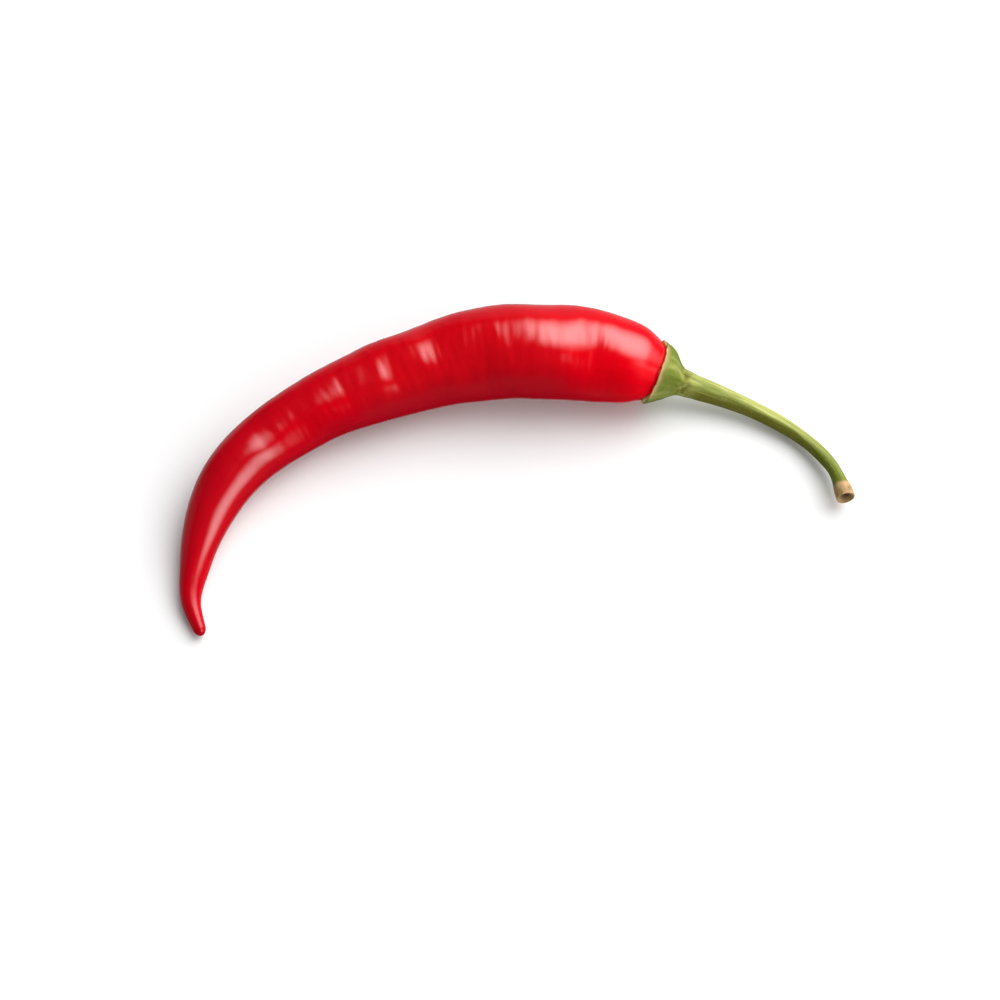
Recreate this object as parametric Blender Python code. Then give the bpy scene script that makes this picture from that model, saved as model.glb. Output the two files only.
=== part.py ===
"""A long red chilli pepper with its green calyx and stem, lying on its side as picked.

Metres, +Z up. The underside rests on z = 0, and the origin is under the middle of the pepper's box.
One line runs through the stem, the calyx and the fruit, and both pieces are skinned round it.
"""

import math

import bmesh
import bpy
import numpy as np
from mathutils import Vector

MM = 0.001

# The line through the pepper, in millimetres: first the stem, from its cut end to the calyx.
STEM_LINE = (
    (66.0, -7.2, 4.6),
    (65.1, -3.3, 3.8),
    (63.6, 1.2, 3.1),
    (60.8, 5.2, 2.6),
    (57.0, 8.9, 2.2),
    (49.1, 13.8, 2.65),
    (41.1, 17.1, 3.6),
    (35.0, 18.8, 5.0),
)
# Then the fruit, from its base under the calyx to its tip.
FRUIT_LINE = (
    (28.8, 20.1, 7.4),
    (24.7, 21.3, 8.4),
    (16.5, 23.5, 8.85),
    (4.3, 24.3, 9.7),
    (-7.9, 23.6, 9.3),
    (-16.0, 22.1, 8.5),
    (-24.1, 19.6, 8.3),
    (-40.0, 12.7, 7.6),
    (-48.6, 7.3, 7.0),
    (-55.5, 1.4, 6.4),
    (-61.1, -7.5, 5.0),
    (-64.5, -19.0, 2.85),
    (-65.2, -26.5, 2.1),
    (-62.8, -33.9, 1.6),
)

# The fruit's radius, as (distance from its base, radius) in millimetres.
FRUIT_RADII = (
    (0.0, 5.6),
    (1.5, 6.1),
    (2.8, 6.75),
    (4.8, 7.8),
    (10.0, 9.0),
    (16.0, 9.55),
    (25.0, 9.8),
    (38.0, 9.4),
    (54.0, 8.3),
    (72.0, 7.0),
    (82.0, 6.45),
    (92.0, 5.95),
    (102.0, 4.85),
    (114.0, 3.1),
    (122.0, 1.9),
    (130.0, 1.0),
)
WIDEST = 9.8
BASE_ROUND = 1.4
TIP_ROUND = 1.5

# Soft swells of the fruit's skin: amplitude and wavelength in millimetres, waves round the fruit, phase.
SWELLS = (
    (0.20, 34.0, 1, 0.6),
    (0.15, 21.0, 2, 2.1),
    (0.10, 13.0, 3, 4.0),
)
SWELL_UNDERNEATH = 0.2

# The outside of the calyx and stem, as (distance beyond the fruit's base, radius) in millimetres.
STALK_RADII = (
    (-1.5, 7.0),
    (0.4, 5.8),
    (1.4, 5.1),
    (2.4, 4.15),
    (3.4, 3.4),
    (4.6, 2.95),
    (5.9, 2.6),
    (9.0, 2.45),
    (12.4, 2.2),
    (16.9, 1.9),
    (21.5, 1.72),
    (26.2, 1.64),
    (31.0, 1.48),
    (38.0, 1.43),
    (44.5, 1.55),
    (46.2, 1.85),
    (48.5, 1.95),
)
# The calyx: short teeth of unlike lengths on its rim, and a rib from each that runs out on the stem.
RIM_AT = 1.4
RIM_THICKNESS = 0.6
TOOTH_LENGTHS = (0.9, 1.0, 0.2, 1.0, 0.8)
TEETH = len(TOOTH_LENGTHS)
TOOTH_SHARPNESS = 2.5
TOOTH_TURN = math.radians(-36.0)
CALYX_RIB = 0.28
STEM_RIDGE = 0.07
RIB_MEAN = 0.35
RIB_FADE = (3.0, 9.0)
CALYX_END = 4.6
GAP = 0.3

# The calyx sits square on the fruit while the stem bends down from it, so its upper side is fuller.
LEAN = 0.35
LEAN_AT = 1.2
LEAN_REACH = 2.0
LEAN_TURN = math.radians(35.0)

# The cut end of the stem: a small round lip and a dished face.
CUT_LIP = 0.3
CUT_DISH = 0.35

FRUIT_RINGS, FRUIT_SECTORS = 88, 28
STALK_SECTORS = 40
INSIDE_RINGS, CALYX_RINGS, STEM_RINGS, CUT_RINGS = 7, 12, 27, 4
STALK_RINGS = INSIDE_RINGS + CALYX_RINGS + STEM_RINGS + CUT_RINGS


def smooth_through(rows, knots=None):
    """A function of distance that passes smoothly through the rows, and its length."""
    rows = np.array(rows, float)
    if knots is None:
        steps = np.linalg.norm(np.diff(rows, axis=0), axis=1)
        knots = np.concatenate([[0.0], np.cumsum(steps)])
    knots = np.array(knots, float)
    slopes = np.gradient(rows, knots, axis=0)

    def at(distance):
        k = int(np.clip(np.searchsorted(knots, distance, side="right") - 1, 0, len(knots) - 2))
        span = knots[k + 1] - knots[k]
        u = (distance - knots[k]) / span
        if u < 0.0 or u > 1.0:
            end = 0 if u < 0.0 else -1
            return rows[end] + slopes[end] * (distance - knots[end])
        start, leave = rows[k], slopes[k] * span
        end, arrive = rows[k + 1], slopes[k + 1] * span
        fall = 2 * u**3 - 3 * u**2 + 1
        return (
            fall * start
            + (1 - fall) * end
            + (u**3 - 2 * u**2 + u) * leave
            + (u**3 - u**2) * arrive
        )

    return at, float(knots[-1])


def smooth_pairs(pairs):
    """A smooth number for each distance, from (distance, number) pairs."""
    at, _ = smooth_through([[value] for _, value in pairs], [distance for distance, _ in pairs])
    return lambda distance: float(at(distance)[0])


line_at, LINE_LENGTH = smooth_through(STEM_LINE + FRUIT_LINE)
_, STEM_LENGTH = smooth_through(STEM_LINE + FRUIT_LINE[:1])
FRUIT_LENGTH = LINE_LENGTH - STEM_LENGTH
fruit_profile = smooth_pairs(FRUIT_RADII)
stalk_profile = smooth_pairs(STALK_RADII)


def cross_section(s):
    """Centre, forward, side and up of the section s millimetres from the fruit's base, towards the tip."""
    step = 0.05
    centre = Vector(line_at(STEM_LENGTH + s))
    forward = Vector(line_at(STEM_LENGTH + s + step)) - Vector(line_at(STEM_LENGTH + s - step))
    forward.normalize()
    side = forward.cross(Vector((0, 0, 1))).normalized()
    return centre, forward, side, side.cross(forward)


def closing(distance, depth):
    """From 0 at a round end to 1 where the rounding stops."""
    return math.sqrt(max(0.0, 1.0 - max(0.0, 1.0 - distance / depth) ** 2))


def swell(s, angle):
    """How far the skin stands out from its round section, fading on the underside and on the thin tip."""
    height = 0.0
    for amplitude, length, turns, phase in SWELLS:
        height += amplitude * math.sin(math.tau * s / length + turns * angle + phase)
    upward = 0.5 + 0.5 * math.sin(angle)
    fade = SWELL_UNDERNEATH + (1.0 - SWELL_UNDERNEATH) * upward
    return height * fade * fruit_profile(s) / WIDEST


def fruit_radius(s, angle):
    rounding = closing(s, BASE_ROUND) * closing(FRUIT_LENGTH - s, TIP_ROUND)
    return (fruit_profile(s) + swell(s, angle)) * rounding


def on_section(s, angle, radius):
    centre, _, side, up = cross_section(s)
    return centre + (side * math.cos(angle) + up * math.sin(angle)) * radius


def fruit_point(share, angle):
    """Rings lie as on a sphere, close together at both ends, and the underside stops at the floor."""
    s = FRUIT_LENGTH * (1.0 - math.cos(math.pi * share)) / 2.0
    point = on_section(s, angle, fruit_radius(s, angle))
    point.z = max(point.z, 0.0)
    return point


def over_fruit(s, angle, height):
    """A point that stands a height above the fruit's skin near its base."""
    step = 0.02
    rise = (fruit_radius(s + step, angle) - fruit_radius(max(s - step, 0.0), angle)) / (2 * step)
    lean = math.hypot(rise, 1.0)
    point = on_section(s, angle, fruit_radius(s, angle) + height / lean)
    return point - cross_section(s)[1] * height * rise / lean


def tooth(angle):
    """1 on the point of each calyx tooth, 0 between them."""
    return (0.5 + 0.5 * math.cos(TEETH * (angle - TOOTH_TURN))) ** TOOTH_SHARPNESS


def rim(angle):
    """How far down the fruit the calyx reaches."""
    nearest = round((angle - TOOTH_TURN) / math.tau * TEETH) % TEETH
    return RIM_AT + TOOTH_LENGTHS[nearest] * tooth(angle)


def ribbed(beyond, angle):
    """The outer radius beyond the fruit's base, with ribs that turn into low ridges on the stem."""
    share = min(max((beyond - RIB_FADE[0]) / (RIB_FADE[1] - RIB_FADE[0]), 0.0), 1.0)
    height = CALYX_RIB * (1.0 - share) + STEM_RIDGE * share
    off_rim = min((beyond + RIM_AT) / RIM_AT, 1.0)
    lean = LEAN * math.exp(-(((beyond - LEAN_AT) / LEAN_REACH) ** 2)) * math.cos(angle - LEAN_TURN)
    return stalk_profile(beyond) + lean * off_rim + height * off_rim * (tooth(angle) - RIB_MEAN)


def stalk_point(share, angle):
    """From the middle of the calyx's inside, round its rim, back over it, along the stem, over the cut."""
    ring = share * STALK_RINGS
    if ring <= INSIDE_RINGS:
        return over_fruit(rim(angle) * (ring / INSIDE_RINGS) ** 2, angle, GAP)
    ring -= INSIDE_RINGS
    stem_end = STALK_RADII[-1][0]
    if ring <= CALYX_RINGS:
        beyond = -rim(angle) + (rim(angle) + CALYX_END) * (ring - 1) / (CALYX_RINGS - 1)
        if beyond < -RIM_AT:
            return over_fruit(-beyond, angle, GAP + RIM_THICKNESS)
        return on_section(-beyond, angle, ribbed(beyond, angle))
    ring -= CALYX_RINGS
    if ring <= STEM_RINGS:
        beyond = CALYX_END + (stem_end - CALYX_END) * ring / STEM_RINGS
        return on_section(-beyond, angle, ribbed(beyond, angle))
    inward = (ring - STEM_RINGS) / CUT_RINGS
    beyond = stem_end + CUT_LIP * math.sin(math.pi * inward) - CUT_DISH * inward
    return on_section(-beyond, angle, ribbed(stem_end, angle) * (1.0 - inward**2))


def skinned(name, sectors, rings, point_at, material, collection):
    """A sphere whose every vertex is moved to point_at(share from pole to pole, angle)."""
    bm = bmesh.new()
    bmesh.ops.create_uvsphere(bm, u_segments=sectors, v_segments=rings, radius=1.0)
    for vertex in bm.verts:
        share = math.acos(min(max(vertex.co.z, -1.0), 1.0)) / math.pi
        share = round(share * rings) / rings
        angle = math.atan2(vertex.co.y, vertex.co.x)
        vertex.co = point_at(share, angle) * MM
    bmesh.ops.triangulate(bm, faces=bm.faces)
    bmesh.ops.recalc_face_normals(bm, faces=bm.faces)
    mesh = bpy.data.meshes.new(name)
    bm.to_mesh(mesh)
    bm.free()
    mesh.shade_smooth()
    mesh.materials.append(material)
    obj = bpy.data.objects.new(name, mesh)
    collection.objects.link(obj)
    return obj


def surface(name, colour, roughness):
    """A plain Principled surface in linear colour."""
    material = bpy.data.materials.new(name)
    material.use_nodes = True
    shader = material.node_tree.nodes["Principled BSDF"]
    shader.inputs["Base Color"].default_value = (*colour, 1.0)
    shader.inputs["Roughness"].default_value = roughness
    shader.inputs["Metallic"].default_value = 0.0
    return material


def main():
    for obj in list(bpy.data.objects):
        bpy.data.objects.remove(obj, do_unlink=True)
    collection = bpy.data.collections.new("chilli_pepper")
    bpy.context.scene.collection.children.link(collection)
    skin = surface("ripe_red_skin", (0.52, 0.003, 0.012), 0.22)
    green = surface("green_calyx_and_stem", (0.22, 0.27, 0.06), 0.55)
    skinned("fruit", FRUIT_SECTORS, FRUIT_RINGS, fruit_point, skin, collection)
    skinned("calyx_and_stem", STALK_SECTORS, STALK_RINGS, stalk_point, green, collection)


main()
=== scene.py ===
"""Dresses a long red chilli pepper: its glossy skin, its green calyx and its stem, on a pale studio floor.

Both pieces are skins laid round one line, which runs from the cut end of the stem to the tip of the fruit.
Sizes and places in the tables below are millimetres. Masks and properties are in metres.
"""
import math

import bmesh
import bpy
import numpy as np
from bpy.props import FloatProperty, FloatVectorProperty, IntProperty, PointerProperty
from bpy.types import Operator, Panel, PropertyGroup
from mathutils import Matrix, Vector


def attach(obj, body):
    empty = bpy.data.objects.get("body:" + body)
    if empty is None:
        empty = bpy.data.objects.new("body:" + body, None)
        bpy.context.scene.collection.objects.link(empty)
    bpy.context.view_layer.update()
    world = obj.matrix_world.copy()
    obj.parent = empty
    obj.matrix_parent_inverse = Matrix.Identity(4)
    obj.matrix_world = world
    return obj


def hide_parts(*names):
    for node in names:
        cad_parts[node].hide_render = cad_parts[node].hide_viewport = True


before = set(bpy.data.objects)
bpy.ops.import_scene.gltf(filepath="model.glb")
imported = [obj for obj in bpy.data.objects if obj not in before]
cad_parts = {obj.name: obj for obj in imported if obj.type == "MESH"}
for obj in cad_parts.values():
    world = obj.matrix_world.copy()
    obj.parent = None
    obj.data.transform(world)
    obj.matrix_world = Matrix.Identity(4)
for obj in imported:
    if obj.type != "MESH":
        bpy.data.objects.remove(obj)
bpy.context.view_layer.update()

bl_info = {
    "name": "Chilli Pepper",
    "version": (1, 0, 0),
    "blender": (4, 5, 0),
    "location": "View3D > Sidebar > Pepper",
    "description": "Makes a ripe red chilli pepper with its calyx and stem, and the studio it lies in",
    "category": "Object",
}

MM = 0.001

# The line through the pepper: first the stem, from its cut end to the calyx.
STEM_LINE = (
    (66.0, -7.2, 4.6),
    (65.1, -3.3, 3.8),
    (63.6, 1.2, 3.1),
    (60.8, 5.2, 2.6),
    (57.0, 8.9, 2.2),
    (49.1, 13.8, 2.65),
    (41.1, 17.1, 3.6),
    (35.0, 18.8, 5.0),
)
# Then the fruit, from its base under the calyx to its tip.
FRUIT_LINE = (
    (28.8, 20.1, 7.4),
    (24.7, 21.3, 8.4),
    (16.5, 23.5, 8.85),
    (4.3, 24.3, 9.7),
    (-7.9, 23.6, 9.3),
    (-16.0, 22.1, 8.5),
    (-24.1, 19.6, 8.3),
    (-40.0, 12.7, 7.6),
    (-48.6, 7.3, 7.0),
    (-55.5, 1.4, 6.4),
    (-61.1, -7.5, 5.0),
    (-64.5, -19.0, 2.85),
    (-65.2, -26.5, 2.1),
    (-62.8, -33.85, 1.6),
)

# The fruit's radius, as (distance from its base, radius).
FRUIT_RADII = (
    (0.0, 5.6),
    (1.5, 6.1),
    (2.8, 6.75),
    (4.8, 7.8),
    (10.0, 9.0),
    (16.0, 9.55),
    (25.0, 9.8),
    (38.0, 9.4),
    (54.0, 8.3),
    (72.0, 7.0),
    (82.0, 6.45),
    (92.0, 5.95),
    (102.0, 4.85),
    (114.0, 3.1),
    (122.0, 1.9),
    (130.0, 1.0),
)
WIDEST = 9.8
BASE_ROUND = 1.4
TIP_ROUND = 1.5

# Soft swells of the skin: amplitude, wavelength, waves round the fruit, phase.
SWELLS = (
    (0.20, 34.0, 1, 0.6),
    (0.15, 21.0, 2, 2.1),
    (0.10, 13.0, 3, 4.0),
)
SWELL_UNDERNEATH = 0.2

# Shallow hollows across the back of the fruit, between the patches of its highlight:
# distance from the base, degrees round from the outer side, depth, half length, half spread in degrees.
HOLLOWS = (
    (31.5, 88.0, 0.04, 1.8, 34.0),
    (36.6, 94.0, 0.26, 2.1, 32.0),
    (46.2, 96.0, 0.18, 2.4, 34.0),
    (55.4, 94.0, 0.25, 2.4, 34.0),
    (65.0, 96.0, 0.34, 4.4, 36.0),
    (76.6, 98.0, 0.20, 2.2, 36.0),
    (84.8, 104.0, 0.22, 2.4, 34.0),
)

# Duller skin on the fruit's inner side, on the shoulder and before the bend. Each patch is given by where it
# starts and ends, the length over which it fades and how dull it is. The middle of both round the fruit and
# their spread, full and faded out, are in degrees.
DULL_PATCHES = ((-9.0, 24.0, 5.0, 1.0), (62.0, 86.5, 4.0, 0.9))
DULL_TURN = 137.0
DULL_SPREAD = (22.0, 36.0)
# The duller tip: where it starts, the length over which it grows, how dull it is.
DULL_TIP = (108.0, 8.0, 0.5)

# The ripples start beyond the shoulder, as (place, length over which they grow).
RIPPLE_START = (5.0, 8.0)
# They weaken towards the tip, as (place, length, share lost), and the tip's end is smooth.
RIPPLE_FADE = (74.0, 14.0, 0.8)
SMOOTH_TIP = 8.0
# How much of the ripples is left on the sides of the fruit.
RIPPLE_AT_SIDES = 0.35
# How many times longer the ripples are round the fruit than along it, and the fibres along than round.
RIPPLE_STRETCH = 3.5
FIBRE_STRETCH = 12.0
# The relief's noise: its detail, its roughness, and the level under which it leaves the skin smooth.
RELIEF_DETAIL = 1.2
RELIEF_ROUGHNESS = 0.5
RELIEF_LEVEL = 0.3

# The outside of the calyx and stem, as (distance beyond the fruit's base, radius).
STALK_RADII = (
    (-1.5, 6.95),
    (0.4, 5.75),
    (1.4, 5.05),
    (2.4, 4.1),
    (3.4, 3.35),
    (4.6, 2.9),
    (5.9, 2.6),
    (9.0, 2.43),
    (12.4, 2.18),
    (16.9, 1.9),
    (21.5, 1.72),
    (26.2, 1.64),
    (31.0, 1.48),
    (38.0, 1.43),
    (44.5, 1.53),
    (46.2, 1.84),
    (48.5, 1.93),
)
# The calyx: short teeth of unlike lengths on its rim, and a rib from each that runs out on the stem.
RIM_AT = 1.4
TOOTH_LENGTHS = (0.9, 1.0, 0.2, 1.0, 0.8)
TEETH = len(TOOTH_LENGTHS)
TOOTH_TURN = math.radians(-36.0)
TOOTH_SHARPNESS = 2.5
RIB_MEAN = 0.35
# The ribs get lower between these places, by this share, and end over this length of the stem.
RIB_FADE = (3.0, 9.0)
RIB_LOSS = 0.75
RIB_END = (36.0, 44.0)
CALYX_END = 4.6
# The gap under the calyx, and the width of the dry band along its rim.
INSIDE_GAP = 0.02
DRY_BAND = 0.6
# The calyx's own colour ends here, after fading over this length.
CALYX_COLOUR = (5.5, 3.0)
# The calyx sits square on the fruit while the stem bends down from it, so its upper side is fuller.
LEAN = 0.35
LEAN_AT = 1.2
LEAN_REACH = 2.0
LEAN_TURN = math.radians(35.0)
# Where the stem grows out of the calyx: a groove, then a knuckle, as (place, half length, height).
NECK_GROOVE = (4.4, 0.8, 0.11)
NECK_KNUCKLE = (6.4, 1.0, 0.12)
# Painted shade, a dark green patch round the groove: (place, half length), and how much weaker on the ribs.
NECK_SHADE = (4.6, 1.6)
NECK_SHADE_ON_RIBS = 0.25
# Small nicks in the rim between its teeth: depth, and waves round the rim with their phases.
RIM_NICKS = 0.12
RIM_WAVES = ((9, 0.4), (14, 2.0), (23, 4.1))
# The cut end: cork from here on, as (place, length over which it starts), a raised lip, a dished face that
# closes by a power of the way in, fewer fibres, and a sunken pith with the share of the face that it takes.
CORK_START = (45.2, 0.7)
CUT_LIP = 0.25
CUT_DISH = 0.3
CUT_POWER = 1.6
FIBRES_LOST = 0.7
PITH_DEPTH = 0.7
PITH_WIDTH = 0.35
PITH_STAIN = 0.45

FRUIT_RINGS, FRUIT_SECTORS = 920, 104
STALK_SECTORS = 128
INSIDE_RINGS, CALYX_RINGS, STEM_RINGS, CUT_RINGS = 20, 56, 150, 18
STALK_RINGS = INSIDE_RINGS + CALYX_RINGS + STEM_RINGS + CUT_RINGS
LINE_POINTS = 800

# The camera looks down on the pepper at the photograph's angle; one image pixel is 0.2 mm at its target.
CAMERA_ELEVATION = math.radians(68.0)
CAMERA_LENS = 100.0
SENSOR_WIDTH = 36.0
IMAGE_WIDTH = 1000
MM_PER_PIXEL = 0.2
CAMERA_TARGET = Vector((-3.8, -6.7, 6.0)) * MM
# The middle of the long highlight along the tip.
TIP_LIT = Vector((-60.0, -8.0, 5.0)) * MM

# Masks on the red skin, as (value from, value to, share at the first, share at the second). INNER_RED_AND_SHADE_SIDE goes
# by the direction round the fruit, and the others by metres from its base.
SHOULDER = (0.030, 0.004, 0.0, 0.65)
BEND = (0.050, 0.090, 0.0, 0.55)
TIP_END = (0.1255, 0.1292, 0.0, 0.6)
# Deeper red on the fruit's inner side, in the next three rows: partly its own colour, partly painted shade.
INNER_RED_AND_SHADE_SIDE = (-0.6, -0.99, 0.0, 1.0)
INNER_RED_AND_SHADE_END = (0.09, 0.07, 0.0, 0.75)
INNER_RED_AND_SHADE_START = (0.006, 0.022, 0.3, 1.0)
# Masks on the calyx and stem, in the same form. ON_STEM and STEM_FAR_PART go by metres from the fruit's base,
# which are negative on the stem. STEM_GREEN_AND_SHADE_MIDDLE and the sides go by the direction round it, and the rest by how
# strong a pattern is.
ON_STEM = (-0.004, -0.009, 0.0, 1.0)
# The stem darkens towards its front side, to leaf green, then olive: partly its own colour, partly painted
# shade.
STEM_GREEN_AND_SHADE_MIDDLE = (0.25, -0.2, 0.0, 0.6)
STEM_OLIVE_AND_SHADE_SIDE = (-0.25, -0.7, 0.0, 0.85)
STEM_FAR_PART = (-0.027, -0.040, 0.0, 0.65)
STEM_LIGHT = (0.1, 0.9, 0.45, 1.0)
# Painted shade: the calyx is a darker green on its lower side.
CALYX_LOWER_SIDE_SHADE = (0.5, -0.4, 0.0, 0.35)
CALYX_BLOTCHES = (0.2, 0.9, 0.65, 0.95)
CALYX_STREAKS = (0.15, 0.75, 1.0, 0.72)
# The painted shade in the neck's groove lies in patches and is weaker on the upper side.
NECK_SHADE_PATCHES = (0.2, 0.7, 0.15, 1.0)
NECK_SHADE_UPPER_SIDE = (0.8, 0.2, 0.3, 1.0)
DRY_BLOTCHES = (0.0, 0.8, 0.35, 0.9)
CORK_BLOTCHES = (0.3, 0.8, 0.0, 0.6)
# The radius at which the stalk's surface is unrolled for its streaks.
UNROLLED_RADIUS = 0.0024
NOISE_MIDDLE = 0.5

# What the world shows: a white to the camera, an even light to matt surfaces, and to glossy ones a dark room
# with a paler back and left side and the pale ground.
WHITE = (1.0, 1.0, 1.0)
MATT_LIGHT = (0.24, 0.24, 0.24)
DARK_ROOM = (0.002, 0.002, 0.008)
PALE_SIDES = (0.15, 0.15, 0.18)
PALE_GROUND = (0.36, 0.36, 0.38)
# Where those sides are, by the direction's share to the back or left, and where the ground is, by its share
# upwards and to the back.
SIDES_AT = (0.86, 1.0)
GROUND_BELOW = (-0.05, -0.6)
GROUND_BEHIND = (-0.12, 0.15)


class PepperShape(PropertyGroup):
    """Sizes of the skin's relief and of the calyx."""

    hollow_share: FloatProperty(
        name="Hollows", description="Share of the hollows' depth across the back of the fruit",
        default=1.0, min=0.0,
    )
    ripple_height: FloatProperty(
        name="Ripple Height", description="Depth of the fine ripples in the red skin", default=0.00036,
        min=0.0, subtype="DISTANCE", unit="LENGTH",
    )
    ripple_spacing: FloatProperty(
        name="Ripple Spacing", description="Distance between ripples along the fruit", default=0.0027,
        min=0.0001, subtype="DISTANCE", unit="LENGTH",
    )
    fibre_height: FloatProperty(
        name="Fibre Height", description="Depth of the lengthwise fibres in calyx and stem", default=0.00011,
        min=0.0, subtype="DISTANCE", unit="LENGTH",
    )
    fibre_spacing: FloatProperty(
        name="Fibre Spacing", description="Distance between fibres round the stem", default=0.0009,
        min=0.0001, subtype="DISTANCE", unit="LENGTH",
    )
    tooth_share: FloatProperty(
        name="Teeth", description="Share of the full length of the calyx teeth", default=1.0, min=0.0, max=1.0
    )
    rim_thickness: FloatProperty(
        name="Rim Thickness", description="Thickness of the calyx at its rim", default=0.0006,
        min=0.0001, subtype="DISTANCE", unit="LENGTH",
    )
    rib_height: FloatProperty(
        name="Rib Height", description="Height of the calyx ribs that run to its teeth", default=0.00034,
        min=0.0, subtype="DISTANCE", unit="LENGTH",
    )
    seed: IntProperty(name="Seed", description="Picks another set of ripples and fibres", default=7, min=0)


class PepperColours(PropertyGroup):
    """Colours of the pepper's tissues."""

    ripe_red: FloatVectorProperty(
        name="Ripe Red", description="Skin of the fruit", subtype="COLOR",
        default=(0.62, 0.0003, 0.004), min=0, max=1,
    )
    # Deep red is also the colour of the painted shade on the fruit's inner side.
    deep_red: FloatVectorProperty(
        name="Deep Red", description="Darker mottling, inner side and tip", subtype="COLOR",
        default=(0.40, 0.0002, 0.008), min=0, max=1,
    )
    warm_red: FloatVectorProperty(
        name="Warm Red", description="Brighter shoulder under the calyx", subtype="COLOR",
        default=(0.90, 0.0006, 0.008), min=0, max=1,
    )
    # Leaf green is also the colour of painted shade on the calyx's lower side and towards the stem's front
    # side.
    leaf_green: FloatVectorProperty(
        name="Leaf Green", description="Calyx and dark sides of the stem", subtype="COLOR",
        default=(0.105, 0.145, 0.004), min=0, max=1,
    )
    stem_green: FloatVectorProperty(
        name="Stem Green", description="Light yellow-green of the stem", subtype="COLOR",
        default=(0.65, 0.66, 0.21), min=0, max=1,
    )
    # Shade olive is also the colour of the stem's painted shade and of the painted shade in the neck's
    # groove.
    shade_olive: FloatVectorProperty(
        name="Shade Olive", description="The stem's dark side and the grooves of the neck",
        subtype="COLOR", default=(0.115, 0.11, 0.003), min=0, max=1,
    )
    dry_tan: FloatVectorProperty(
        name="Dry Tan", description="Dry rim, tooth tips and cork at the cut end", subtype="COLOR",
        default=(0.60, 0.37, 0.19), min=0, max=1,
    )
    pith_brown: FloatVectorProperty(
        name="Pith Brown", description="Dark middle of the cut end", subtype="COLOR",
        default=(0.05, 0.035, 0.012), min=0, max=1,
    )


class PepperStage(PropertyGroup):
    """The pale floor and the soft lights."""

    floor_colour: FloatVectorProperty(
        name="Floor", description="Colour of the floor", subtype="COLOR",
        default=(0.88, 0.88, 0.88), min=0, max=1,
    )
    key_brightness: FloatProperty(
        name="Key Brightness", description="Brightness of the large light above and behind",
        default=4.9, min=0.0,
    )
    side_brightness: FloatProperty(
        name="Side Brightness", description="Brightness of the tall light low on the right",
        default=3.4, min=0.0,
    )


def smooth_through(knots, rows):
    """A function that passes smoothly through the rows, one at each knot."""
    knots = np.array(knots, float)
    rows = np.array(rows, float)
    slopes = np.gradient(rows, knots, axis=0)

    def at(where):
        where = np.atleast_1d(np.asarray(where, float))
        k = np.clip(np.searchsorted(knots, where, side="right") - 1, 0, len(knots) - 2)
        span = knots[k + 1] - knots[k]
        u = np.clip((where - knots[k]) / span, 0.0, 1.0)
        if rows.ndim > 1:
            span, u = span[:, None], u[:, None]
        fall = 2 * u**3 - 3 * u**2 + 1
        bend = (u**3 - 2 * u**2 + u) * slopes[k] + (u**3 - u**2) * slopes[k + 1]
        return fall * rows[k] + (1 - fall) * rows[k + 1] + bend * span

    return at


def chord_knots(rows):
    """The distance of each row from the first, measured from row to row."""
    steps = np.linalg.norm(np.diff(np.array(rows, float), axis=0), axis=1)
    return np.concatenate([[0.0], np.cumsum(steps)])


LINE = STEM_LINE + FRUIT_LINE
LINE_KNOTS = chord_knots(LINE)
LINE_LENGTH = float(LINE_KNOTS[-1])
STEM_LENGTH = float(LINE_KNOTS[len(STEM_LINE)])
FRUIT_LENGTH = LINE_LENGTH - STEM_LENGTH
line_at = smooth_through(LINE_KNOTS, LINE)
fruit_profile = smooth_through(*zip(*FRUIT_RADII))
stalk_profile = smooth_through(*zip(*STALK_RADII))


def closing(distance, depth):
    """From 0 at a round end to 1 where the rounding stops."""
    return np.sqrt(np.clip(1.0 - np.clip(1.0 - distance / depth, 0.0, 1.0) ** 2, 0.0, 1.0))


def bell(x, middle, half_width):
    """A smooth bump of height 1 at the middle."""
    return np.exp(-(((x - middle) / half_width) ** 2))


def ramp(x, start, length):
    """From 0 at the start to 1 after the length, and level outside them."""
    return np.clip((x - start) / length, 0.0, 1.0)


def turn_between(angle, degrees):
    """The turn in degrees from a place round the fruit, the short way."""
    return (np.degrees(angle) - degrees + 180.0) % 360.0 - 180.0


def fruit_reach(s, angle, hollow_share):
    """How far the skin is from the line, at a distance from the base and an angle round it."""
    swell = sum(
        amplitude * np.sin(math.tau * s / length + turns * angle + phase)
        for amplitude, length, turns, phase in SWELLS
    )
    fade = SWELL_UNDERNEATH + (1.0 - SWELL_UNDERNEATH) * (0.5 + 0.5 * np.sin(angle))
    profile = fruit_profile(s)
    reach = profile + swell * fade * profile / WIDEST
    for middle, degrees, depth, half_length, spread in HOLLOWS:
        across = bell(turn_between(angle, degrees), 0.0, spread)
        reach -= hollow_share * depth * bell(s, middle, half_length) * across
    return reach * closing(s, BASE_ROUND) * closing(FRUIT_LENGTH - s, TIP_ROUND)


def over_fruit(s, angle, height):
    """Distance from the base and reach of a point that stands a height above the skin near the base."""
    step = 0.02
    reach = fruit_reach(s, angle, 0.0)
    further = fruit_reach(s + step, angle, 0.0)
    nearer = fruit_reach(np.maximum(s - step, 0.0), angle, 0.0)
    rise = (further - nearer) / (2 * step)
    lean = np.hypot(rise, 1.0)
    return s - height * rise / lean, reach + height / lean


def tooth(angle):
    """1 on the point of each calyx tooth, 0 between them."""
    return (0.5 + 0.5 * np.cos(TEETH * (angle - TOOTH_TURN))) ** TOOTH_SHARPNESS


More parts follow.
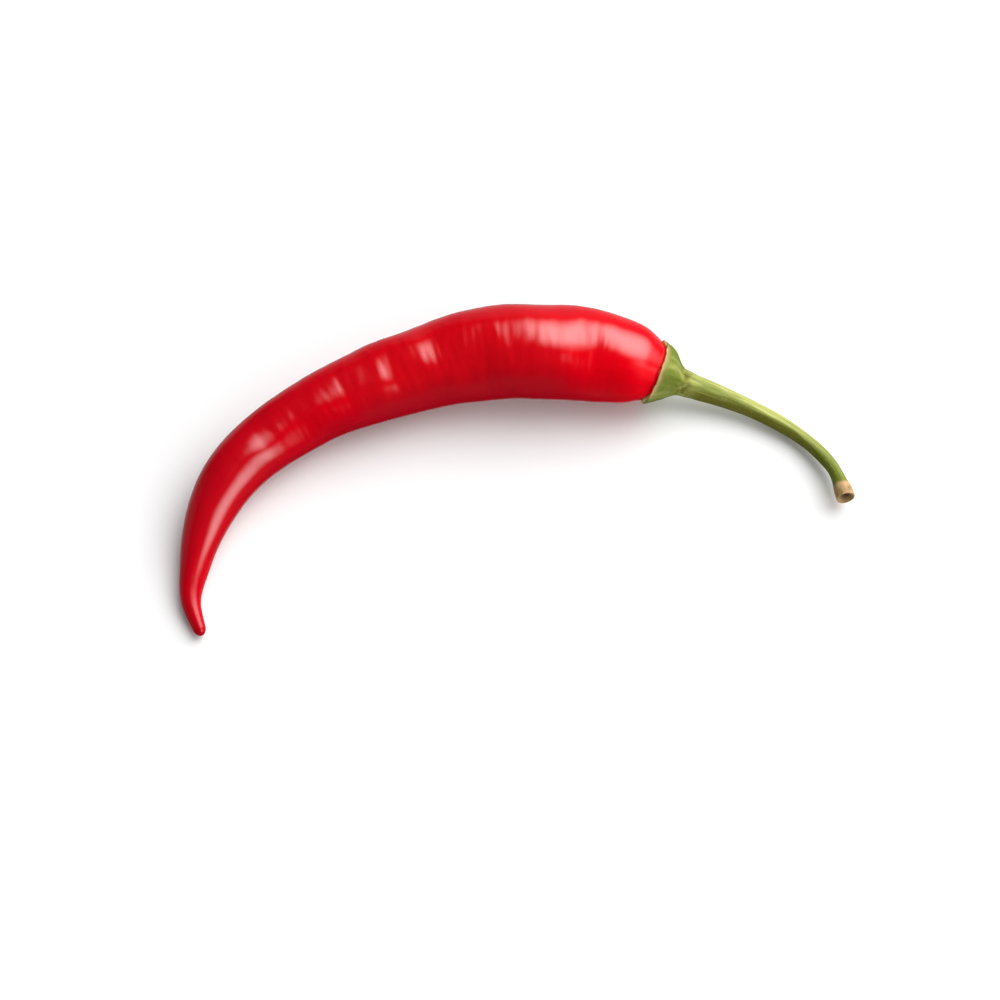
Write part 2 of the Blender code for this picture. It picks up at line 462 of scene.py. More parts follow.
def unit_sphere(sectors, rings):
    """A closed sphere's mesh, with each vertex's share of the way from pole to pole and its angle round."""
    bm = bmesh.new()
    bmesh.ops.create_uvsphere(bm, u_segments=sectors, v_segments=rings, radius=1.0)
    mesh = bpy.data.meshes.new("sphere")
    bm.to_mesh(mesh)
    bm.free()
    places = np.empty(3 * len(mesh.vertices))
    mesh.vertices.foreach_get("co", places)
    x, y, z = places.reshape(-1, 3).T
    share = np.round(np.arccos(np.clip(z, -1.0, 1.0)) / math.pi * rings) / rings
    return mesh, share, np.arctan2(y, x)


def store(mesh, name, values, kind="FLOAT"):
    """Keeps one value or vector for each vertex under a name."""
    layer = mesh.attributes.new(name, kind, "POINT")
    layer.data.foreach_set("value" if kind == "FLOAT" else "vector", np.ravel(values))


def fruit_mesh(shape):
    """The fruit's vertices, each with its place along and round the line and its reach from it."""
    mesh, share, angle = unit_sphere(FRUIT_SECTORS, FRUIT_RINGS)
    s = FRUIT_LENGTH * (1.0 - np.cos(math.pi * share)) / 2.0
    reach = fruit_reach(s, angle, shape.hollow_share)
    weaker_from, weaker_over, lost = RIPPLE_FADE
    rippled = ramp(s, *RIPPLE_START) * (1.0 - lost * ramp(s, weaker_from, weaker_over))
    rippled *= closing(FRUIT_LENGTH - s, SMOOTH_TIP)
    rippled *= RIPPLE_AT_SIDES + (1.0 - RIPPLE_AT_SIDES) * np.clip(np.sin(angle), 0.0, 1.0)
    keep_places(mesh, s, reach, angle, rippled)
    full, faded = DULL_SPREAD
    spread = np.clip((faded - np.abs(turn_between(angle, DULL_TURN))) / (faded - full), 0.0, 1.0)
    tip_from, tip_over, tip_strength = DULL_TIP
    dull = tip_strength * ramp(s, tip_from, tip_over)
    for first, last, fade, strength in DULL_PATCHES:
        dull += strength * spread * ramp(np.minimum(s - first, last - s), 0.0, fade)
    store(mesh, "dull", dull)
    return mesh


def stalk_mesh(shape):
    """The calyx and stem: from the middle of the inside, round the rim, back over it and along the stem."""
    mesh, share, angle = unit_sphere(STALK_SECTORS, STALK_RINGS)
    nearest = np.round((angle - TOOTH_TURN) / math.tau * TEETH).astype(int) % TEETH
    rim = RIM_AT + shape.tooth_share * np.array(TOOTH_LENGTHS)[nearest] * tooth(angle)
    for waves, phase in RIM_WAVES:
        rim -= RIM_NICKS / len(RIM_WAVES) * (1.0 + np.sin(waves * angle + phase))
    ring = share * STALK_RINGS
    stem_end = STALK_RADII[-1][0]

    inside = ramp(ring, 0, INSIDE_RINGS)
    s, reach = over_fruit(rim * inside**2, angle, INSIDE_GAP)

    back = ramp(ring, INSIDE_RINGS + 1, CALYX_RINGS - 1)
    beyond = -rim + (rim + CALYX_END) * back
    s_tooth, reach_tooth = over_fruit(-beyond, angle, shape.rim_thickness / MM)
    outer = ribbed(beyond, angle, shape)
    on_calyx = ring > INSIDE_RINGS
    on_tooth = on_calyx & (beyond < -RIM_AT)
    s = np.where(on_calyx, -beyond, s)
    reach = np.where(on_calyx, outer, reach)
    s = np.where(on_tooth, s_tooth, s)
    reach = np.where(on_tooth, reach_tooth, reach)

    stem = ramp(ring, INSIDE_RINGS + CALYX_RINGS, STEM_RINGS)
    on_stem = ring > INSIDE_RINGS + CALYX_RINGS
    beyond_stem = CALYX_END + (stem_end - CALYX_END) * stem
    inward = ramp(ring, INSIDE_RINGS + CALYX_RINGS + STEM_RINGS, CUT_RINGS)
    face = CUT_LIP * np.sin(math.pi * np.minimum(2 * inward, 1.0)) - CUT_DISH * inward
    face -= PITH_DEPTH * bell(1.0 - inward, 0.0, PITH_WIDTH)
    s = np.where(on_stem, -(beyond_stem + np.where(inward > 0, face, 0.0)), s)
    reach = np.where(on_stem, ribbed(beyond_stem, angle, shape) * (1.0 - inward**CUT_POWER), reach)

    keep_places(mesh, s, reach, angle, np.where(on_calyx, 1.0 - FIBRES_LOST * inward, 0.0))
    store(mesh, "rim", np.where(on_calyx, bell(-beyond, rim, DRY_BAND) * (1.0 - stem), 1.0))
    store(mesh, "cork", ramp(beyond_stem, *CORK_START) * on_stem)
    store(mesh, "pith", bell(1.0 - inward, 0.0, PITH_STAIN) * (inward > 0))
    calyx_end, calyx_fade = CALYX_COLOUR
    store(mesh, "calyx", ramp(s, -calyx_end, calyx_fade))
    # Where the neck's painted shade lies, round the groove and weaker on the ribs.
    store(mesh, "neck", bell(-s, *NECK_SHADE) * (1.0 - NECK_SHADE_ON_RIBS * tooth(angle)))
    return mesh


def ribbed(beyond, angle, shape):
    """The outer radius beyond the fruit's base, with ribs that turn into low ridges on the stem."""
    lower = RIB_LOSS * ramp(beyond, RIB_FADE[0], RIB_FADE[1] - RIB_FADE[0])
    ended = ramp(beyond, RIB_END[0], RIB_END[1] - RIB_END[0])
    height = shape.rib_height / MM * (1.0 - lower) * (1.0 - ended)
    off_rim = ramp(beyond, -RIM_AT, RIM_AT)
    groove, knuckle = NECK_GROOVE, NECK_KNUCKLE
    neck = knuckle[2] * bell(beyond, *knuckle[:2]) - groove[2] * bell(beyond, *groove[:2])
    lean = LEAN * bell(beyond, LEAN_AT, LEAN_REACH) * np.cos(angle - LEAN_TURN)
    return stalk_profile(beyond) + neck + lean * off_rim + height * off_rim * (tooth(angle) - RIB_MEAN)


def keep_places(mesh, s, reach, angle, rippled):
    """Stores what the skin tree reads, and where each point would be on a straightened pepper."""
    store(mesh, "along", (STEM_LENGTH + s) / LINE_LENGTH)
    store(mesh, "reach", reach * MM)
    store(mesh, "turn", angle)
    store(mesh, "rippled", rippled)
    straight = np.stack([reach * np.cos(angle), reach * np.sin(angle), s], axis=1) * MM
    store(mesh, "straight", straight, "FLOAT_VECTOR")


def add_node(tree, kind, values=None, **settings):
    """Adds a node, sets its properties, and links or sets the inputs that are given by name or number."""
    node = tree.nodes.new(kind)
    for name, value in settings.items():
        setattr(node, name, value)
    for name, value in (values or {}).items():
        usable = [socket for socket in node.inputs if socket.enabled]
        socket = usable[name] if isinstance(name, int) else next(s for s in usable if s.name == name)
        if isinstance(value, bpy.types.NodeSocket):
            tree.links.new(value, socket)
        else:
            socket.default_value = value
    return node


def output(node, name=None):
    """A node's first usable output, or the one of that name."""
    return next(s for s in node.outputs if s.enabled and name in (None, s.name))


def calc(tree, operation, *values):
    """The result of a Math node."""
    return output(add_node(tree, "ShaderNodeMath", dict(enumerate(values)), operation=operation))


def vector_calc(tree, operation, *values):
    """The result of a Vector Math node."""
    node = add_node(tree, "ShaderNodeVectorMath", operation=operation)
    usable = [socket for socket in node.inputs if socket.enabled]
    for socket, value in zip(usable, values):
        if isinstance(value, bpy.types.NodeSocket):
            tree.links.new(value, socket)
        else:
            socket.default_value = value
    return output(node)


def new_group(name, kind, inputs, outputs):
    """A node group with its sockets, from (name, socket type, default) rows, and its two end nodes."""
    tree = bpy.data.node_groups.new(name, kind)
    for label, socket_type, default in inputs:
        socket = tree.interface.new_socket(label, in_out="INPUT", socket_type=socket_type)
        if default is not None:
            socket.default_value = default
    for label, socket_type in outputs:
        tree.interface.new_socket(label, in_out="OUTPUT", socket_type=socket_type)
    return tree, tree.nodes.new("NodeGroupInput"), tree.nodes.new("NodeGroupOutput")


def kept(tree, name, kind="FLOAT"):
    """A value that the mesh keeps for each vertex."""
    return output(add_node(tree, "GeometryNodeInputNamedAttribute", {"Name": name}, data_type=kind))


def skin_tree():
    """Geometry nodes that lay a piece's vertices round the pepper's line and add its fine relief."""
    tree, start, end = new_group(
        "Skin Round A Line",
        "GeometryNodeTree",
        (
            ("Geometry", "NodeSocketGeometry", None),
            ("Line", "NodeSocketObject", None),
            ("Relief Height", "NodeSocketFloat", 0.0),
            ("Relief Spacing", "NodeSocketVector", (0.001, 0.001, 0.001)),
            ("Seed", "NodeSocketInt", 0),
            ("Floor Height", "NodeSocketFloat", 0.0),
            ("Material", "NodeSocketMaterial", None),
        ),
        (("Geometry", "NodeSocketGeometry"),),
    )
    given = start.outputs
    line = output(add_node(tree, "GeometryNodeObjectInfo", {"Object": given["Line"]}), "Geometry")
    sample = add_node(
        tree, "GeometryNodeSampleCurve", {"Curves": line, "Factor": kept(tree, "along")},
        mode="FACTOR", use_all_curves=True,
    )
    forward = output(sample, "Tangent")
    side = vector_calc(tree, "NORMALIZE", vector_calc(tree, "CROSS_PRODUCT", forward, (0.0, 0.0, 1.0)))
    up = vector_calc(tree, "CROSS_PRODUCT", side, forward)

    place = vector_calc(tree, "DIVIDE", kept(tree, "straight", "FLOAT_VECTOR"), given["Relief Spacing"])
    relief = add_node(
        tree, "ShaderNodeTexNoise",
        {
            "Vector": place,
            "W": given["Seed"],
            "Scale": 1.0,
            "Detail": RELIEF_DETAIL,
            "Roughness": RELIEF_ROUGHNESS,
        },
        noise_dimensions="4D",
    )
    depth = calc(tree, "MAXIMUM", calc(tree, "SUBTRACT", output(relief), RELIEF_LEVEL), 0.0)
    depth = calc(tree, "MULTIPLY", depth, given["Relief Height"])
    depth = calc(tree, "MULTIPLY", depth, kept(tree, "rippled"))
    reach = calc(tree, "SUBTRACT", kept(tree, "reach"), depth)

    turn = kept(tree, "turn")
    spot = output(sample, "Position")
    for direction, operation in ((side, "COSINE"), (up, "SINE")):
        out = add_node(tree, "ShaderNodeVectorMath", {0: direction}, operation="SCALE")
        tree.links.new(calc(tree, "MULTIPLY", reach, calc(tree, operation, turn)), out.inputs["Scale"])
        spot = vector_calc(tree, "ADD", spot, output(out))
    parts = add_node(tree, "ShaderNodeSeparateXYZ", {0: spot})
    lifted = calc(tree, "MAXIMUM", parts.outputs["Z"], given["Floor Height"])
    spot = add_node(
        tree, "ShaderNodeCombineXYZ", {"X": parts.outputs["X"], "Y": parts.outputs["Y"], "Z": lifted}
    )

    laid = add_node(
        tree, "GeometryNodeSetPosition", {"Geometry": given["Geometry"], "Position": output(spot)}
    )
    smooth = add_node(tree, "GeometryNodeSetShadeSmooth", {"Geometry": output(laid)})
    real = add_node(tree, "GeometryNodeRealizeInstances", {"Geometry": output(smooth)})
    painted = add_node(
        tree, "GeometryNodeSetMaterial", {"Geometry": output(real), "Material": given["Material"]}
    )
    tree.links.new(output(painted), end.inputs["Geometry"])
    return tree


def pepper_line():
    """The pepper's line as a curve object, which is removed again once both skins are made."""
    curve = bpy.data.curves.new("pepper_line", "CURVE")
    curve.dimensions = "3D"
    spline = curve.splines.new("POLY")
    spline.points.add(LINE_POINTS - 1)
    places = line_at(np.linspace(0.0, LINE_LENGTH, LINE_POINTS)) * MM
    flat = np.concatenate([places, np.ones((LINE_POINTS, 1))], axis=1)
    spline.points.foreach_set("co", flat.ravel())
    line = bpy.data.objects.new("pepper_line", curve)
    bpy.context.scene.collection.objects.link(line)
    return line


def laid_round_line(name, mesh, material, height, spacing, seed):
    """Runs the skin tree on a mesh and keeps the result as a plain mesh object.

    What it was made from is removed.
    """
    line = pepper_line()
    source = bpy.data.objects.new(name + "_source", mesh)
    bpy.context.scene.collection.objects.link(source)
    tree = bpy.data.node_groups.get("Skin Round A Line") or skin_tree()
    skin = source.modifiers.new("Skin Round A Line", "NODES")
    skin.node_group = tree
    chosen = {
        "Line": line,
        "Relief Height": height,
        "Relief Spacing": spacing,
        "Seed": seed,
        "Floor Height": 0.0,
        "Material": material,
    }
    for socket in tree.interface.items_tree:
        if socket.in_out == "INPUT" and socket.name in chosen:
            skin[socket.identifier] = chosen[socket.name]
    bpy.context.view_layer.update()
    graph = bpy.context.evaluated_depsgraph_get()
    result = bpy.data.meshes.new_from_object(
        source.evaluated_get(graph), preserve_all_data_layers=True, depsgraph=graph
    )
    source.modifiers.remove(skin)
    result.name = name
    piece = bpy.data.objects.new(name, result)
    bpy.context.scene.collection.objects.link(piece)
    for helper in (source, line):
        bpy.data.objects.remove(helper, do_unlink=True)
    return piece


def attribute(tree, name, which="Fac"):
    """A value that the mesh keeps, for a shader."""
    return add_node(tree, "ShaderNodeAttribute", attribute_name=name).outputs[which]


def contrasted(tree, noise, contrast):
    """A noise's value with more contrast round its middle, held from 0 to 1."""
    centred = calc(tree, "MULTIPLY", calc(tree, "SUBTRACT", noise, NOISE_MIDDLE), contrast)
    return output(add_node(tree, "ShaderNodeClamp", {"Value": calc(tree, "ADD", centred, NOISE_MIDDLE)}))


def mottle_group():
    """Shader group: soft blotches, from 0 to 1."""
    tree, start, end = new_group(
        "Mottle",
        "ShaderNodeTree",
        (
            ("Place", "NodeSocketVector", None),
            ("Size", "NodeSocketFloat", 0.004),
            ("Contrast", "NodeSocketFloat", 2.0),
        ),
        (("Mask", "NodeSocketFloat"),),
    )
    scale = calc(tree, "DIVIDE", 1.0, start.outputs["Size"])
    noise = add_node(
        tree, "ShaderNodeTexNoise",
        {"Vector": start.outputs["Place"], "Scale": scale, "Detail": 3.0, "Roughness": 0.55},
    )
    tree.links.new(contrasted(tree, output(noise), start.outputs["Contrast"]), end.inputs["Mask"])
    return tree


def streak_group():
    """Shader group: streaks that run along the straightened pepper, from 0 to 1."""
    tree, start, end = new_group(
        "Lengthwise Streaks",
        "ShaderNodeTree",
        (
            ("Place", "NodeSocketVector", None),
            ("Width", "NodeSocketFloat", 0.0005),
            ("Stretch", "NodeSocketFloat", 12.0),
            ("Contrast", "NodeSocketFloat", 2.5),
        ),
        (("Mask", "NodeSocketFloat"),),
    )
    scale = calc(tree, "DIVIDE", 1.0, start.outputs["Width"])
    lengthwise = calc(tree, "DIVIDE", 1.0, start.outputs["Stretch"])
    squeeze = add_node(tree, "ShaderNodeCombineXYZ", {"X": 1.0, "Y": 1.0, "Z": lengthwise})
    place = vector_calc(tree, "MULTIPLY", start.outputs["Place"], output(squeeze))
    noise = add_node(
        tree, "ShaderNodeTexNoise", {"Vector": place, "Scale": scale, "Detail": 2.0, "Roughness": 0.6}
    )
    tree.links.new(contrasted(tree, output(noise), start.outputs["Contrast"]), end.inputs["Mask"])
    return tree


def pore_group():
    """Shader group: the fine pebbled grain of plant skin, as a height, and its pale flecks as a mask."""
    tree, start, end = new_group(
        "Skin Grain",
        "ShaderNodeTree",
        (("Place", "NodeSocketVector", None), ("Size", "NodeSocketFloat", 0.0006)),
        (("Height", "NodeSocketFloat"), ("Flecks", "NodeSocketFloat")),
    )
    scale = calc(tree, "DIVIDE", 1.0, start.outputs["Size"])
    cells = add_node(
        tree, "ShaderNodeTexVoronoi", {"Vector": start.outputs["Place"], "Scale": scale}, feature="SMOOTH_F1"
    )
    noise = add_node(
        tree, "ShaderNodeTexNoise",
        {"Vector": start.outputs["Place"], "Scale": calc(tree, "MULTIPLY", scale, 0.35), "Detail": 4.0},
    )
    height = calc(tree, "ADD", calc(tree, "MULTIPLY", output(cells, "Distance"), 0.5), output(noise))
    tree.links.new(height, end.inputs["Height"])
    near, far = 0.08, 0.28
    tree.links.new(ranged(tree, output(cells, "Distance"), far, near), end.inputs["Flecks"])
    return tree


def use_group(tree, name, maker, **values):
    """Places a shared group in a material with its own values, and makes it the first time."""
    node = tree.nodes.new("ShaderNodeGroup")
    node.node_tree = bpy.data.node_groups.get(name) or maker()
    for label, value in values.items():
        socket = node.inputs[label.capitalize()]
        if isinstance(value, bpy.types.NodeSocket):
            tree.links.new(value, socket)
        else:
            socket.default_value = value
    return node


def mixed(tree, share, first, second):
    """A colour between two colours."""
    colours = [
        (*value, 1.0) if not isinstance(value, bpy.types.NodeSocket) and len(value) == 3 else value
        for value in (first, second)
    ]
    node = add_node(
        tree, "ShaderNodeMix", {"Factor": share, "A": colours[0], "B": colours[1]}, data_type="RGBA"
    )
    return output(node)


def ranged(tree, value, low, high, to_low=0.0, to_high=1.0):
    """A value stretched from one range to another and held inside it."""
    node = add_node(
        tree, "ShaderNodeMapRange",
        {"Value": value, "From Min": low, "From Max": high, "To Min": to_low, "To Max": to_high},
    )
    return output(node)


def new_material(name):
    """A material with its tree and its Principled shader."""
    material = bpy.data.materials.new(name)
    material.use_nodes = True
    tree = material.node_tree
    return material, tree, tree.nodes["Principled BSDF"]


def red_skin(colours):
    """Ripe chilli skin: waxy and glossy, mottled red, brighter on the shoulder and deeper at the tip."""
    material, tree, shader = new_material("red_skin")
    place = attribute(tree, "straight", "Vector")
    along = add_node(tree, "ShaderNodeSeparateXYZ", {0: place}).outputs["Z"]
    blotch = use_group(tree, "Mottle", mottle_group, place=place, size=0.011, contrast=2.4).outputs["Mask"]
    fine = use_group(tree, "Mottle", mottle_group, place=place, size=0.0016, contrast=1.6).outputs["Mask"]
    streak = use_group(
        tree, "Lengthwise Streaks", streak_group, place=place, width=0.0011, stretch=14.0, contrast=1.8
    ).outputs["Mask"]
    grain = use_group(tree, "Skin Grain", pore_group, place=place, size=0.00045)

    colour = mixed(tree, ranged(tree, along, *BEND), colours.ripe_red, colours.deep_red)
    blotch_share, streak_share, fine_share, fleck_share = 0.35, 0.22, 0.14, 0.10
    colour = mixed(tree, calc(tree, "MULTIPLY", blotch, blotch_share), colour, colours.deep_red)
    colour = mixed(tree, ranged(tree, along, *SHOULDER), colour, colours.warm_red)
    colour = mixed(tree, calc(tree, "MULTIPLY", streak, streak_share), colour, colours.deep_red)
    colour = mixed(tree, calc(tree, "MULTIPLY", fine, fine_share), colour, colours.warm_red)
    colour = mixed(tree, ranged(tree, along, *TIP_END), colour, colours.deep_red)
    # Deeper red on the fruit's inner side: partly the skin's own colour, partly painted shade.
    around = vector_calc(tree, "NORMALIZE", vector_calc(tree, "MULTIPLY", place, (1.0, 1.0, 0.0)))
    inner = add_node(tree, "ShaderNodeSeparateXYZ", {0: around}).outputs["X"]
    inner = calc(tree, "MULTIPLY", ranged(tree, inner, *INNER_RED_AND_SHADE_SIDE), ranged(tree, along, *INNER_RED_AND_SHADE_END))
    inner = calc(tree, "MULTIPLY", inner, ranged(tree, along, *INNER_RED_AND_SHADE_START))
    colour = mixed(tree, inner, colour, colours.deep_red)
    flecks = calc(tree, "MULTIPLY", grain.outputs["Flecks"], fleck_share)
    colour = mixed(tree, flecks, colour, colours.warm_red)
    tree.links.new(colour, shader.inputs["Base Color"])

    tree.links.new(ranged(tree, fine, 0.0, 1.0, 0.30, 0.38), shader.inputs["Roughness"])
    crossing = use_group(
        tree, "Lengthwise Streaks", streak_group, place=place, width=0.0032, stretch=0.22, contrast=1.2
    ).outputs["Mask"]
    crossing_height, pore_height = 1.2, 0.6
    pores = calc(tree, "MULTIPLY", grain.outputs["Height"], pore_height)
    height = calc(tree, "ADD", calc(tree, "MULTIPLY", crossing, crossing_height), pores)
    bump = add_node(tree, "ShaderNodeBump", {"Height": height, "Strength": 0.3, "Distance": 0.00008})
    tree.links.new(output(bump), shader.inputs["Normal"])
    shader.inputs["Specular IOR Level"].default_value = 0.0
    tree.links.new(ranged(tree, attribute(tree, "dull"), 0.0, 1.0, 1.0, 0.06), shader.inputs["Coat Weight"])
    shader.inputs["Coat Roughness"].default_value = 0.15
    shader.inputs["Coat IOR"].default_value = 1.7
    shader.inputs["Subsurface Weight"].default_value = 0.08
    shader.inputs["Subsurface Radius"].default_value = (1.0, 0.15, 0.1)
    shader.inputs["Subsurface Scale"].default_value = 0.0012
    return material


def green_stalk(colours):
    """Calyx and stem: yellow-green fibres over olive, dry tan on rim and teeth, cork and pith at the cut."""
    material, tree, shader = new_material("green_stalk")
    place = attribute(tree, "straight", "Vector")
    along = add_node(tree, "ShaderNodeSeparateXYZ", {0: place}).outputs["Z"]
    around = vector_calc(tree, "NORMALIZE", vector_calc(tree, "MULTIPLY", place, (1.0, 1.0, 0.0)))
    level = add_node(tree, "ShaderNodeSeparateXYZ", {0: around}).outputs["X"]
    unrolled = vector_calc(tree, "MULTIPLY", around, (UNROLLED_RADIUS, UNROLLED_RADIUS, 0.0))
    unrolled = vector_calc(tree, "ADD", unrolled, vector_calc(tree, "MULTIPLY", place, (0.0, 0.0, 1.0)))
    fibres = use_group(
        tree, "Lengthwise Streaks", streak_group, place=unrolled, width=0.00045, stretch=14.0, contrast=3.2
    ).outputs["Mask"]
    broad = use_group(
        tree, "Lengthwise Streaks", streak_group, place=unrolled, width=0.0014, stretch=7.0, contrast=2.6
    ).outputs["Mask"]
    blotch = use_group(tree, "Mottle", mottle_group, place=place, size=0.0022, contrast=2.2).outputs["Mask"]
    patches = use_group(tree, "Mottle", mottle_group, place=place, size=0.0011, contrast=3.0).outputs["Mask"]
    grain = use_group(tree, "Skin Grain", pore_group, place=place, size=0.00032)

    waver, fibre_share, speck_share = 0.2, 0.40, 0.2
    level = calc(tree, "ADD", level, ranged(tree, broad, 0.0, 1.0, -waver, waver))
    on_stem = ranged(tree, along, *ON_STEM)
    colour = mixed(tree, ranged(tree, broad, *STEM_LIGHT), colours.leaf_green, colours.stem_green)
    colour = mixed(tree, calc(tree, "MULTIPLY", fibres, fibre_share), colour, colours.leaf_green)
    # The stem's front side is darker, leaf green, then olive: partly its own colour, partly painted shade.
    middle = calc(tree, "MULTIPLY", ranged(tree, level, *STEM_GREEN_AND_SHADE_MIDDLE), on_stem)
    colour = mixed(tree, middle, colour, colours.leaf_green)
    olive_and_shade_side = calc(tree, "MULTIPLY", ranged(tree, level, *STEM_OLIVE_AND_SHADE_SIDE), on_stem)
    colour = mixed(tree, olive_and_shade_side, colour, colours.shade_olive)
    colour = mixed(tree, ranged(tree, along, *STEM_FAR_PART), colour, colours.leaf_green)
    calyx = calc(tree, "MULTIPLY", attribute(tree, "calyx"), ranged(tree, blotch, *CALYX_BLOTCHES))
    calyx = calc(tree, "MULTIPLY", calyx, ranged(tree, broad, *CALYX_STREAKS))
    colour = mixed(tree, calyx, colour, colours.leaf_green)
    # Painted shade: the calyx's lower side is mixed towards a darker green.
    lower = calc(tree, "MULTIPLY", ranged(tree, level, *CALYX_LOWER_SIDE_SHADE), attribute(tree, "calyx"))
    colour = mixed(tree, lower, colour, colours.leaf_green)
    # Painted shade in the neck's groove: olive in patches, weaker on the upper side.
    neck = calc(tree, "MULTIPLY", attribute(tree, "neck"), ranged(tree, patches, *NECK_SHADE_PATCHES))
    neck = calc(tree, "MULTIPLY", neck, ranged(tree, level, *NECK_SHADE_UPPER_SIDE))
    colour = mixed(tree, neck, colour, colours.shade_olive)
    dry = calc(tree, "MULTIPLY", attribute(tree, "rim"), ranged(tree, blotch, *DRY_BLOTCHES))
    colour = mixed(tree, dry, colour, colours.dry_tan)
    specks = calc(tree, "MULTIPLY", grain.outputs["Flecks"], speck_share)
    colour = mixed(tree, specks, colour, colours.stem_green)
    cork = mixed(tree, ranged(tree, blotch, *CORK_BLOTCHES), colours.dry_tan, colours.shade_olive)
    colour = mixed(tree, attribute(tree, "cork"), colour, cork)
    colour = mixed(tree, attribute(tree, "pith"), colour, colours.pith_brown)
    tree.links.new(colour, shader.inputs["Base Color"])

    tree.links.new(ranged(tree, fibres, 0.0, 1.0, 0.42, 0.58), shader.inputs["Roughness"])
    fibre_height = 1.4
    height = calc(tree, "ADD", calc(tree, "MULTIPLY", fibres, fibre_height), grain.outputs["Height"])
    bump = add_node(tree, "ShaderNodeBump", {"Height": height, "Strength": 0.5, "Distance": 0.00008})
    tree.links.new(output(bump), shader.inputs["Normal"])
    shader.inputs["IOR"].default_value = 1.45
    shader.inputs["Specular IOR Level"].default_value = 0.2
    shader.inputs["Subsurface Weight"].default_value = 0.06
    shader.inputs["Subsurface Radius"].default_value = (0.6, 1.0, 0.2)
    shader.inputs["Subsurface Scale"].default_value = 0.0008
    return material


def floor_material(colour):
    """Matt pale table top."""
    material, tree, shader = new_material("pale_floor")
    shader.inputs["Base Color"].default_value = (*colour, 1.0)
    shader.inputs["Roughness"].default_value = 0.85
    shader.inputs["Specular IOR Level"].default_value = 0.1
    return material


def soft_light(name, brightness, aimed_at, towards, distance, size, upright, edge):
    """A rectangular light, aimed at a place that sees it so many degrees right and back from straight up.

    Its height lies along upright as nearly as it can, and over the outer share given by edge it fades out.
    """
    right, back = (math.tan(math.radians(degrees)) for degrees in towards)
    away = Vector((right, back, 1.0)).normalized()
    light = bpy.data.lights.new(name, "AREA")
    light.shape = "RECTANGLE"
    light.size, light.size_y = size
    light.energy = brightness * math.pi * size[0] * size[1]
    light.use_nodes = True
    tree = light.node_tree
    place = add_node(tree, "ShaderNodeSeparateXYZ", {0: add_node(tree, "ShaderNodeTexCoord").outputs["UV"]})
    fades = []
    half = 0.5
    for axis in ("X", "Y"):
        from_middle = calc(tree, "ABSOLUTE", calc(tree, "SUBTRACT", place.outputs[axis], half))
        fades.append(output(add_node(
            tree, "ShaderNodeMapRange",
            {"Value": from_middle, "From Min": half, "From Max": half * (1.0 - edge)},
            interpolation_type="SMOOTHSTEP",
        )))
    tree.links.new(calc(tree, "MULTIPLY", *fades), tree.nodes["Emission"].inputs["Strength"])
    lamp = bpy.data.objects.new(name, light)
    lamp.location = aimed_at + away * distance
    height = (Vector(upright) - away * away.dot(Vector(upright))).normalized()
    lamp.rotation_euler = Matrix((height.cross(away), height, away)).transposed().to_euler()
    lamp.visible_camera = False
    bpy.context.scene.collection.objects.link(lamp)


def studio_world():
    """The plain world, which gives camera, matt and glossy rays values of their own."""
    world = bpy.data.worlds.new("studio")
    world.use_nodes = True
    world.cycles.sampling_method = "NONE"
    tree = world.node_tree
    ray = add_node(tree, "ShaderNodeLightPath")
    direction = add_node(tree, "ShaderNodeTexCoord").outputs["Generated"]
    parts = add_node(tree, "ShaderNodeSeparateXYZ", {0: direction}).outputs
    outward = calc(tree, "MAXIMUM", parts["Y"], calc(tree, "MULTIPLY", parts["X"], -1.0))
    reflected = mixed(tree, ranged(tree, outward, *SIDES_AT), DARK_ROOM, PALE_SIDES)
    below = ranged(tree, parts["Z"], *GROUND_BELOW)
    ground = calc(tree, "MULTIPLY", below, ranged(tree, parts["Y"], *GROUND_BEHIND))
    reflected = mixed(tree, ground, reflected, PALE_GROUND)
    colour = mixed(tree, ray.outputs["Is Glossy Ray"], MATT_LIGHT, reflected)
    colour = mixed(tree, ray.outputs["Is Camera Ray"], colour, WHITE)
    tree.links.new(colour, tree.nodes["Background"].inputs["Color"])
    return world


class PEPPER_OT_add_fruit(Operator):
    """Makes the red fruit and puts it in the place of its plain solid"""

    bl_idname = "pepper.add_fruit"
    bl_label = "Add Fruit"

    def execute(self, context):
        shape = context.scene.pepper_shape
        across = shape.ripple_spacing * RIPPLE_STRETCH
        spacing = (across, across, shape.ripple_spacing)
        material = red_skin(context.scene.pepper_colours)
        piece = laid_round_line(
            "fruit_skin", fruit_mesh(shape), material, shape.ripple_height, spacing, shape.seed
        )
        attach(piece, "root")
        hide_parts("fruit")
        return {"FINISHED"}


class PEPPER_OT_add_stalk(Operator):
    """Makes the green calyx and stem and puts them in the place of their plain solid"""

    bl_idname = "pepper.add_stalk"
    bl_label = "Add Calyx and Stem"

    def execute(self, context):
        shape = context.scene.pepper_shape
        spacing = (shape.fibre_spacing, shape.fibre_spacing, shape.fibre_spacing * FIBRE_STRETCH)
        material = green_stalk(context.scene.pepper_colours)
        piece = laid_round_line(
            "calyx_and_stem_skin", stalk_mesh(shape), material, shape.fibre_height, spacing, shape.seed
        )
        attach(piece, "root")
        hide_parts("calyx_and_stem")
        return {"FINISHED"}


